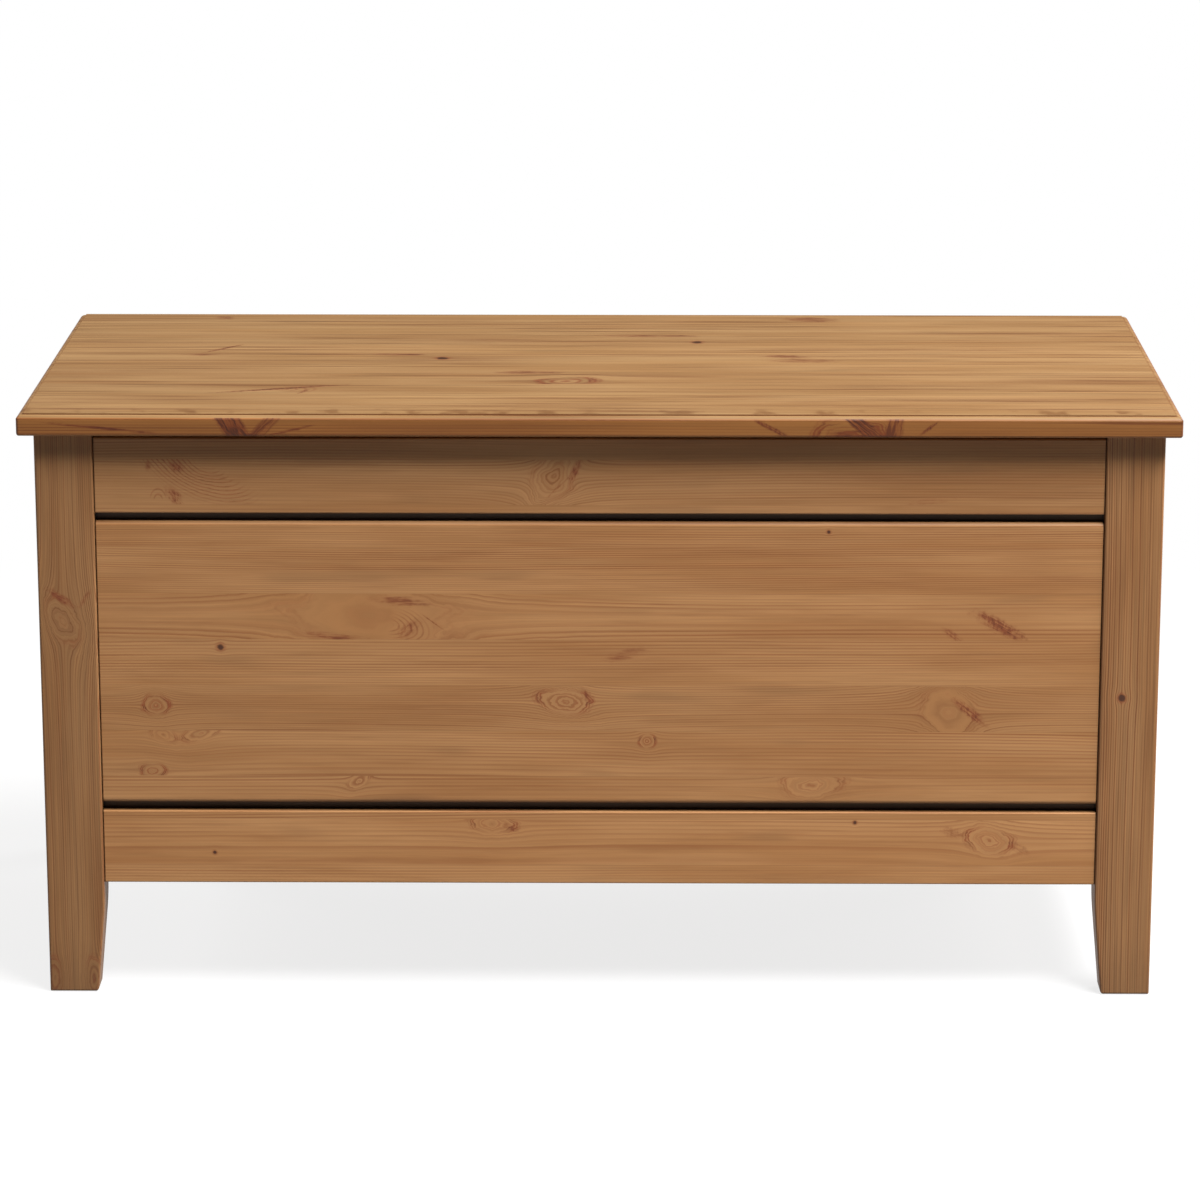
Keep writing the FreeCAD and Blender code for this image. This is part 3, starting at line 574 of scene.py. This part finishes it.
LID_MARKS = [
    Feather(-342.2, 200, 9, 12, 30, 0.8),
    Feather(-330, 56, 27, 2.6, 50, 2.0),
    Feather(-347.2, 29.4, 20, 8, 8, 0.7),
    Feather(-268, -118, 66, 3.6, 17.5, 2.1),
    Feather(-247, -129, 13, 2, 66, 1.3),
    Swirl(-272, -120, 40, 20, 0, 5, 0.7),
    Feather(-175.5, 33, 27, 10, -3, 1.5),
    Pin(-137.4, 14, 5),
    Feather(-61.1, -48.5, 34, 11, 2, 1.1),
    Knot(-27.4, -84, 21, 14, 12, 2, 2.0),
    Feather(40, 120, 52, 10, -2, 1.5),
    Pin(83.4, 88, 4.5),
    Feather(158, 24, 24, 7, -8, 1.6),
    Feather(174, 6, 36, 11, -2, 0.9),
    Feather(186, 195.6, 30, 14, -10, 1.2),
]
LEFT_SIDE_MARKS = [
    Knot(-96, 352, 15, 10, 8, 3, 0.7),
    Feather(88, 322, 24, 6, 24, 0.85),
    Pin(30, 232, 2.4),
    Knot(118, 206, 10, 8, 0, 2.5, 0.75),
    Knot(-60, 443, 20, 11, -6, 3, 0.6),
    Knot(74, 130, 13, 9, 5, 2.5, 0.7),
]
RIGHT_SIDE_MARKS = [
    Knot(64, 288, 17, 11, -6, 3, 0.7),
    Feather(-102, 248, 26, 5, -22, 0.9),
    Knot(-40, 372, 8, 7, 0, 2.5, 0.8),
    Pin(122, 350, 2.2),
    Feather(96, 440, 22, 5, 14, 0.7),
    Knot(-84, 134, 15, 10, 6, 3, 0.7),
]
BACK_RAIL_MARKS = [
    Knot(-210, 134, 15, 10, 0, 3, 0.7),
    Pin(90, 128, 2.4),
    Knot(180, 446, 18, 11, 8, 3, 0.65),
    Feather(-120, 440, 24, 5, -18, 0.8),
]
REAR_LEG_MARKS = [
    Knot(212, -440, 15, 9, 8, 2.5, 0.7),
    Knot(356, 438, 13, 8, -6, 2.5, 0.7),
    Pin(128, 447, 2.6),
]


# Peeled veneer, beech, zinc plate and rubber, then bright and dull brass
VENEER_PALE = stain(196, 152, 102)
VENEER_DEEP = stain(182, 136, 88)
VENEER_LATE = stain(154, 98, 56)
BEECH_PALE = stain(214, 178, 134)
BEECH_DEEP = stain(198, 156, 110)
BEECH_FLECK = stain(160, 112, 70)
ZINC_PALE = stain(196, 197, 194)
ZINC_DULL = stain(150, 151, 148)
RUBBER_BROWN = stain(74, 52, 38)
RUBBER_DUST = stain(112, 90, 72)
HINGE_BRASS = stain(198, 160, 94), stain(112, 80, 44)
STAY_BRASS = stain(196, 162, 100), stain(126, 94, 54)
RIVET_BRASS = stain(200, 166, 104), stain(120, 88, 48)


def plywood(name, order, seed):
    """Peeled veneer with the wide, wandering figure that peeling gives."""
    finish = Finish(name, {"Specular IOR Level": 0.35})
    axes = dict(zip("xyz", finish.parts(finish.place)))
    along, across, through = [axes[axis] for axis in order]
    grain = finish.vector(along + seed, across, through)
    swell = finish.noise(grain, (0.9, 7, 7), 2.0, 0.4)
    rings = swell * 34.0 + across * 60.0
    phase = rings - rings.math("FLOOR")
    late = finish.rise(phase, 0.35, 0.9) * finish.fall(phase, 0.9, 1.0)
    fibre = finish.noise(grain, (9, 700, 700), 3.0, 0.7)
    cloud = finish.noise(grain, (2, 14, 14))
    colour = finish.mix(VENEER_PALE, VENEER_DEEP, finish.rise(cloud, 0.3, 0.7))
    colour = finish.mix(colour, VENEER_LATE, late * (cloud * 0.5 + 0.3))
    colour = finish.shade(colour, fibre * 0.36 + 0.82)
    roughness = fibre * 0.16 + late * -0.05 + 0.5
    return finish.wear(colour, roughness, fibre, relief=0.05 * MM)


def beech(name):
    """Close pale wood with short brown flecks."""
    finish = Finish(name, {"Specular IOR Level": 0.3})
    fleck = finish.rise(finish.noise(finish.place, (160, 160, 900), 1.0), 0.62, 0.75)
    cloud = finish.noise(finish.place, (60, 60, 60))
    colour = finish.mix(BEECH_PALE, BEECH_DEEP, cloud)
    colour = finish.mix(colour, BEECH_FLECK, fleck * 0.6)
    return finish.wear(colour, cloud * 0.2 + 0.5, fleck, relief=0.03 * MM)


def brushed_metal(name, bright, dull, brush, roughness, tarnish=0.7):
    """Metal with fine brush lines and cloudy tarnish. The brush gives the line density along each axis."""
    finish = Finish(name, {"Metallic": 1.0})
    lines = finish.noise(finish.place, brush, 3.0, 0.7)
    patch = finish.noise(finish.place, (70, 70, 70), 3.0, 0.6)
    spot = finish.rise(finish.noise(finish.place, (420, 420, 420), 1.0), 0.66, 0.78)
    dullness = finish.rise(patch, 0.38, 0.7) * tarnish + spot * 0.25
    colour = finish.mix(bright, dull, dullness.math("MINIMUM", 1.0))
    colour = finish.shade(colour, lines * 0.3 + 0.85)
    return finish.wear(colour, lines * 0.16 + dullness * 0.18 + roughness, lines, relief=0.02 * MM)


def zinc(name):
    """Die-cast and plated zinc with a fine crystal spangle."""
    finish = Finish(name, {"Metallic": 1.0})
    crystal = finish.node("ShaderNodeTexVoronoi", inputs={"Vector": finish.place, "Scale": 900.0})
    split = finish.node("ShaderNodeSeparateColor", inputs={0: crystal.outputs["Color"]})
    grey = finish.amount(split)
    patch = finish.noise(finish.place, (140, 140, 140), 3.0, 0.6)
    colour = finish.mix(ZINC_PALE, ZINC_DULL, grey * 0.5 + patch * 0.4)
    return finish.wear(colour, grey * 0.12 + patch * 0.16 + 0.28, patch, relief=0.02 * MM)


def rubber(name):
    """Soft brown pads with a dusty bloom."""
    finish = Finish(name, {"Specular IOR Level": 0.3})
    dust = finish.noise(finish.place, (500, 500, 500), 3.0, 0.6)
    grit = finish.noise(finish.place, (2600, 2600, 2600))
    colour = finish.mix(RUBBER_BROWN, RUBBER_DUST, finish.rise(dust, 0.45, 0.75))
    return finish.wear(colour, dust * 0.2 + 0.6, grit, relief=0.04 * MM)


def dress(names, material):
    """Gives every slot of those nodes the material."""
    for name in names:
        for slot in NODES[name].material_slots:
            slot.material = material


def on_both_sides(piece):
    return [side + "_" + piece for side in ("left", "right")]


# Show sides, and the glue lines and stave widths of the boards
FRONT = -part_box("front_panel")[0].y
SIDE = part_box("right_side_panel")[1].x
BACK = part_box("back_top_rail")[1].y
PANEL_SEAM = 0.1895
PANEL_STAVE = 0.0392
TOP_RAIL_SEAM = 0.4214
TOP_RAIL_STAVE = 0.0381
BOTTOM_RAIL_SEAM = 0.1125
BOTTOM_RAIL_STAVE = 0.0398
LEG_FRONT = -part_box("front_left_leg")[0].y
LEFT_LEG_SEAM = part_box("front_left_leg")[0].x
RIGHT_LEG_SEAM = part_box("front_right_leg")[0].x
LEG_STAVE = 0.1
LEG_RING = 1.7
LID_SEAM = 0.034
LID_STAVE = 0.0435
CLEAT_SEAM = 0.1
CLEAT_STAVE = 0.06
BATTEN_SEAM = 0.2
BATTEN_STAVE = 0.1

dress(["front_panel"],
      pine("front_panel_pine",
           Board("xzy", FRONT, PANEL_SEAM, PANEL_STAVE, seed=3.0, contrast=1.1, ring=1.8),
           PANEL_MARKS, [gap_painted_shade, leg_joint_stain_and_shade("front_top_rail", "x")]))
dress(["front_top_rail"],
      pine("front_top_rail_pine",
           Board("xzy", FRONT, TOP_RAIL_SEAM, TOP_RAIL_STAVE, seed=11.0, tone=0.9),
           TOP_RAIL_MARKS, [gap_painted_shade, leg_joint_stain_and_shade("front_top_rail", "x")]))
dress(["front_bottom_rail"],
      pine("front_bottom_rail_pine",
           Board("xzy", FRONT, BOTTOM_RAIL_SEAM, BOTTOM_RAIL_STAVE, seed=17.0, tone=1.1),
           BOTTOM_RAIL_MARKS, [gap_painted_shade, leg_joint_stain_and_shade("front_bottom_rail", "x")]))
dress(["front_left_leg"],
      pine("front_left_leg_pine",
           Board("zxy", LEG_FRONT, LEFT_LEG_SEAM, LEG_STAVE, seed=23.0, tone=0.75, contrast=1.3,
                 ring=LEG_RING),
           LEFT_LEG_MARKS, [foot_darkening]))
dress(["front_right_leg"],
      pine("front_right_leg_pine",
           Board("zxy", LEG_FRONT, RIGHT_LEG_SEAM, LEG_STAVE, seed=29.0, tone=0.76, contrast=1.7,
                 ring=LEG_RING),
           RIGHT_LEG_MARKS, [foot_darkening]))
dress(["rear_left_leg", "rear_right_leg"],
      pine("rear_leg_pine",
           Board("zxy", BACK, LEFT_LEG_SEAM, LEG_STAVE, seed=31.0, tone=0.84, contrast=1.3,
                 ring=LEG_RING),
           REAR_LEG_MARKS, [foot_darkening]))
dress(["lid_panel"],
      pine("lid_pine",
           Board("xyz", LID_HIGH.z, LID_SEAM, LID_STAVE, seed=37.0, contrast=1.2, streaks=0.68,
                 streak_scale=(3, 150, 150), fibre_scale=(5, 280, 280)),
           LID_MARKS, [lid_edges]))
for side, seed, marks in (("left", 41.0, LEFT_SIDE_MARKS), ("right", 59.0, RIGHT_SIDE_MARKS)):
    wood = pine(side + "_side_pine",
                Board("yzx", SIDE, PANEL_SEAM, PANEL_STAVE, seed, tone=0.95),
                marks, [gap_painted_shade, leg_joint_stain_and_shade(side + "_top_rail", "y")])
    dress([side + "_top_rail", side + "_bottom_rail", side + "_side_panel"], wood)
dress(["back_top_rail", "back_bottom_rail"],
      pine("back_rail_pine",
           Board("xzy", BACK, BOTTOM_RAIL_SEAM, BOTTOM_RAIL_STAVE, seed=43.0, tone=0.95),
           BACK_RAIL_MARKS))
dress(["front_bottom_cleat", "back_bottom_cleat"],
      pine("long_cleat_pine", Board("xzy", BACK, CLEAT_SEAM, CLEAT_STAVE, seed=47.0)))
dress(on_both_sides("bottom_cleat"),
      pine("short_cleat_pine", Board("yzx", SIDE, CLEAT_SEAM, CLEAT_STAVE, seed=61.0)))
dress(on_both_sides("lid_batten"),
      pine("batten_pine", Board("yxz", LID_HIGH.z, BATTEN_SEAM, BATTEN_STAVE, seed=67.0)))
dress(["back_panel"], plywood("back_plywood", "xzy", seed=53.0))
dress(["bottom_panel"], plywood("bottom_plywood", "xyz", seed=71.0))
dress(["rail_dowels"], beech("dowel_beech"))
dress(on_both_sides("hinge_frame_leaf") + on_both_sides("hinge_lid_leaf") + on_both_sides("hinge_pin"),
      brushed_metal("hinge_brass", *HINGE_BRASS, brush=(12, 900, 900), roughness=0.32))
dress(on_both_sides("stay_arm") + on_both_sides("stay_guide") + on_both_sides("stay_bracket"),
      brushed_metal("stay_brass", *STAY_BRASS, brush=(900, 60, 900), roughness=0.32, tarnish=0.5))
dress(on_both_sides("stay_rivet"),
      brushed_metal("rivet_brass", *RIVET_BRASS, brush=(500, 500, 500), roughness=0.3, tarnish=0.5))
plated = zinc("zinc_plate")
dress(["cam_bolts", "cam_locks"], plated)
dress(["lid_bumpers"], rubber("bumper_rubber"))


# Screws with a cross recess stand for the plain ones
CROSS_REACH = 0.58
CROSS_HALF_WIDTH = 0.13
CROSS_DEPTH = 0.5
CROSS_DRAW_IN = 0.45
SCREW_SIDES = 28
MERGE_DISTANCE = 0.001 * MM
LEVEL_STEP = 0.01 * MM


def solid_islands(node):
    """The separate solids of a node, each as a list of its points."""
    bm = bmesh.new()
    bm.from_mesh(NODES[node].data)
    bmesh.ops.remove_doubles(bm, verts=bm.verts, dist=MERGE_DISTANCE)
    left = set(bm.verts)
    islands = []
    while left:
        todo = [left.pop()]
        points = []
        while todo:
            vert = todo.pop()
            points.append(vert.co.copy())
            for edge in vert.link_edges:
                other = edge.other_vert(vert)
                if other in left:
                    left.remove(other)
                    todo.append(other)
        islands.append(points)
    bm.free()
    return islands


def measure_screw(points):
    """Head place, outward direction, and (depth, radius) of each level of a screw's outline."""
    low = Vector([min(point[axis] for point in points) for axis in range(3)])
    high = Vector([max(point[axis] for point in points) for axis in range(3)])
    size = high - low
    axis = max(range(3), key=lambda index: size[index])
    middle = (low + high) / 2
    levels = {}
    for point in points:
        flat = point - middle
        flat[axis] = 0
        level = round(point[axis] / LEVEL_STEP)
        levels[level] = max(levels.get(level, 0.0), flat.length)
    ends = min(levels), max(levels)
    head_level = max(ends, key=lambda level: levels[level])
    outward = Vector((0, 0, 0))
    outward[axis] = 1.0 if head_level == ends[1] else -1.0
    head = middle.copy()
    head[axis] = head_level * LEVEL_STEP
    outline = sorted((abs(level - head_level) * LEVEL_STEP, radius) for level, radius in levels.items())
    return head, outward, outline


def turned_point(place, radius, turn, depth):
    return place @ Vector((radius * math.cos(turn), radius * math.sin(turn), -depth))


def bridge(bm, upper, lower):
    for index, vert in enumerate(upper):
        after = (index + 1) % len(upper)
        bm.faces.new((vert, lower[index], lower[after], upper[after]))


def cross_outline(reach, half_width):
    """Twelve corners of a cross, two at the end of each arm and one between arms."""
    corners = []
    for quarter in range(4):
        turn = Matrix.Rotation(quarter * math.pi / 2, 2)
        for corner in ((reach, -half_width), (reach, half_width), (half_width, half_width)):
            corners.append(turn @ Vector(corner))
    return corners


def add_screw(bm, head, outward, outline):
    place = Matrix.Translation(head) @ outward.to_track_quat("Z", "Y").to_matrix().to_4x4()
    turns = [math.tau * index / SCREW_SIDES for index in range(SCREW_SIDES)]
    loops = []
    for depth, radius in outline:
        loops.append([bm.verts.new(turned_point(place, radius, turn, depth)) for turn in turns])
    for upper, lower in zip(loops, loops[1:]):
        bridge(bm, upper, lower)
    bm.faces.new(reversed(loops[-1]))
    radius = outline[0][1]
    cross = cross_outline(CROSS_REACH * radius, CROSS_HALF_WIDTH * radius)
    mouth = [bm.verts.new(place @ corner.to_3d()) for corner in cross]
    sink = Vector((0, 0, -CROSS_DEPTH * radius))
    bottom = [bm.verts.new(place @ ((corner * CROSS_DRAW_IN).to_3d() + sink)) for corner in cross]
    bridge(bm, mouth, bottom)
    bm.faces.new(bottom)
    rim = [bm.edges.get((vert, loops[0][(index + 1) % SCREW_SIDES])) for index, vert in enumerate(loops[0])]
    lip = [bm.edges.get((vert, mouth[(index + 1) % len(mouth)])) for index, vert in enumerate(mouth)]
    bmesh.ops.triangle_fill(bm, use_beauty=True, edges=rim + lip)


def cross_screws(node, material):
    """Screws of a node with their heads cut, riding on the node's own body."""
    bm = bmesh.new()
    for points in solid_islands(node):
        add_screw(bm, *measure_screw(points))
    bmesh.ops.recalc_face_normals(bm, faces=bm.faces)
    mesh = bpy.data.meshes.new("cross_" + node)
    bm.to_mesh(mesh)
    bm.free()
    mesh.materials.append(material)
    made = bpy.data.objects.new("cross_" + node, mesh)
    bpy.context.scene.collection.objects.link(made)
    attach(made, NODES[node]["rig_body"])
    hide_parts(node)


for screws in ("cleat_screws", "lid_batten_screws", "hinge_frame_screws", "hinge_lid_screws",
               "stay_guide_screws", "stay_bracket_screws"):
    cross_screws(screws, plated)

# Stage: a pale floor that runs out of the picture
FLOOR_HALF = 30.0
FLOOR_DROP = 0.5 * MM
SHADOW_REACH = 0.6
WHITE_REACH = 1.5
SHADOW_GLOW = 0.8
# The floor's grey is what lights the chest from below, and its pale paint is what a view shows
FLOOR_GREY = stain(108, 108, 108)
FLOOR_PALE = stain(242, 242, 242)


def floor_paint():
    """Pale paint that keeps the shadow near the chest and goes to white further out."""
    paint = Finish("floor_paint", {"Roughness": 0.9, "Specular IOR Level": 0.0})
    rays = paint.node("ShaderNodeLightPath")
    seen = paint.amount(rays, "Is Camera Ray") + paint.amount(rays, "Is Glossy Ray")
    seen = (seen + paint.amount(rays, "Is Transmission Ray")).math("MINIMUM", 1.0)
    away = paint.rise(paint.length(paint.place), SHADOW_REACH, WHITE_REACH)
    paint.plug(paint.shader.inputs["Base Color"], paint.mix(FLOOR_GREY, FLOOR_PALE, seen))
    glow = paint.node("ShaderNodeEmission", inputs={"Color": (1, 1, 1, 1), "Strength": 1.0})
    whiteness = seen * (away * (1 - SHADOW_GLOW) + SHADOW_GLOW)
    both = paint.node("ShaderNodeMixShader",
                      inputs={0: whiteness, 1: paint.shader.outputs["BSDF"], 2: glow.outputs[0]})
    paint.plug(paint.output.inputs["Surface"], both.outputs[0])
    return paint.material


def floor():
    mesh = bpy.data.meshes.new("floor")
    corners = [(x * FLOOR_HALF, y * FLOOR_HALF, 0) for x, y in ((-1, -1), (1, -1), (1, 1), (-1, 1))]
    mesh.from_pydata(corners, [], [(0, 1, 2, 3)])
    mesh.materials.append(floor_paint())
    made = bpy.data.objects.new("floor", mesh)
    made.location.z = cad_box[0][2] - FLOOR_DROP
    bpy.context.scene.collection.objects.link(made)


def room_light(strength):
    """Even light from all sides, and a white backdrop where a view looks past the floor."""
    world = bpy.data.worlds.new("studio")
    bpy.context.scene.world = world
    room = Tree(world)
    rays = room.node("ShaderNodeLightPath")
    seen = room.amount(rays, "Is Camera Ray") + room.amount(rays, "Is Transmission Ray")
    even = room.node("ShaderNodeBackground", inputs={"Color": (1, 1, 1, 1), "Strength": strength})
    white = room.node("ShaderNodeBackground", inputs={"Color": (1, 1, 1, 1), "Strength": 1.0})
    both = room.node("ShaderNodeMixShader", inputs={
        0: seen.math("MINIMUM", 1.0), 1: even.outputs[0], 2: white.outputs[0]})
    room.node("ShaderNodeOutputWorld", inputs={"Surface": both.outputs[0]})


def softbox(name, place, aim, width, height, power):
    lamp = bpy.data.lights.new(name, "AREA")
    lamp.shape = "RECTANGLE"
    lamp.size = width
    lamp.size_y = height
    lamp.energy = power
    made = bpy.data.objects.new(name, lamp)
    made.location = place
    made.rotation_euler = (Vector(aim) - Vector(place)).to_track_quat("-Z", "Y").to_euler()
    bpy.context.scene.collection.objects.link(made)


# Lamps: name, place, the point they are turned to, width, height and power
CHEST_FRONT = (0, -0.1, 0.3)
CHEST_BACK = (0, 0.2, 0.3)
SOFTBOXES = [
    ("key_softbox", (2.2, -1.54, 4.2), CHEST_FRONT, 3.0, 1.3, 470),
    ("front_softbox", (1.6, -2.1, 3.7), CHEST_FRONT, 2.4, 1.0, 48),
    ("left_softbox", (-3.0, 1.9, 1.5), CHEST_BACK, 1.4, 1.4, 85),
    ("right_softbox", (3.0, 1.9, 1.5), CHEST_BACK, 1.4, 1.4, 85),
]
ROOM_STRENGTH = 0.05

floor()
room_light(ROOM_STRENGTH)
for lamp in SOFTBOXES:
    softbox(*lamp)

# Camera: where the photograph was taken from, looking slightly down
CAMERA_PLACE = (0.0346, -3.8461, 1.2652)
CAMERA_DOWN = math.radians(14.25)
CAMERA_LEFT = math.radians(0.533)
CAMERA_LENS = 136.51
CAMERA_SENSOR = 36.0

camera = bpy.data.cameras.new("camera")
camera.lens = CAMERA_LENS
camera.sensor_width = CAMERA_SENSOR
viewer = bpy.data.objects.new("camera", camera)
viewer.location = CAMERA_PLACE
viewer.rotation_euler = (math.pi / 2 - CAMERA_DOWN, 0, CAMERA_LEFT)
bpy.context.scene.collection.objects.link(viewer)
bpy.context.scene.camera = viewer
bpy.context.scene.view_settings.view_transform = "Standard"
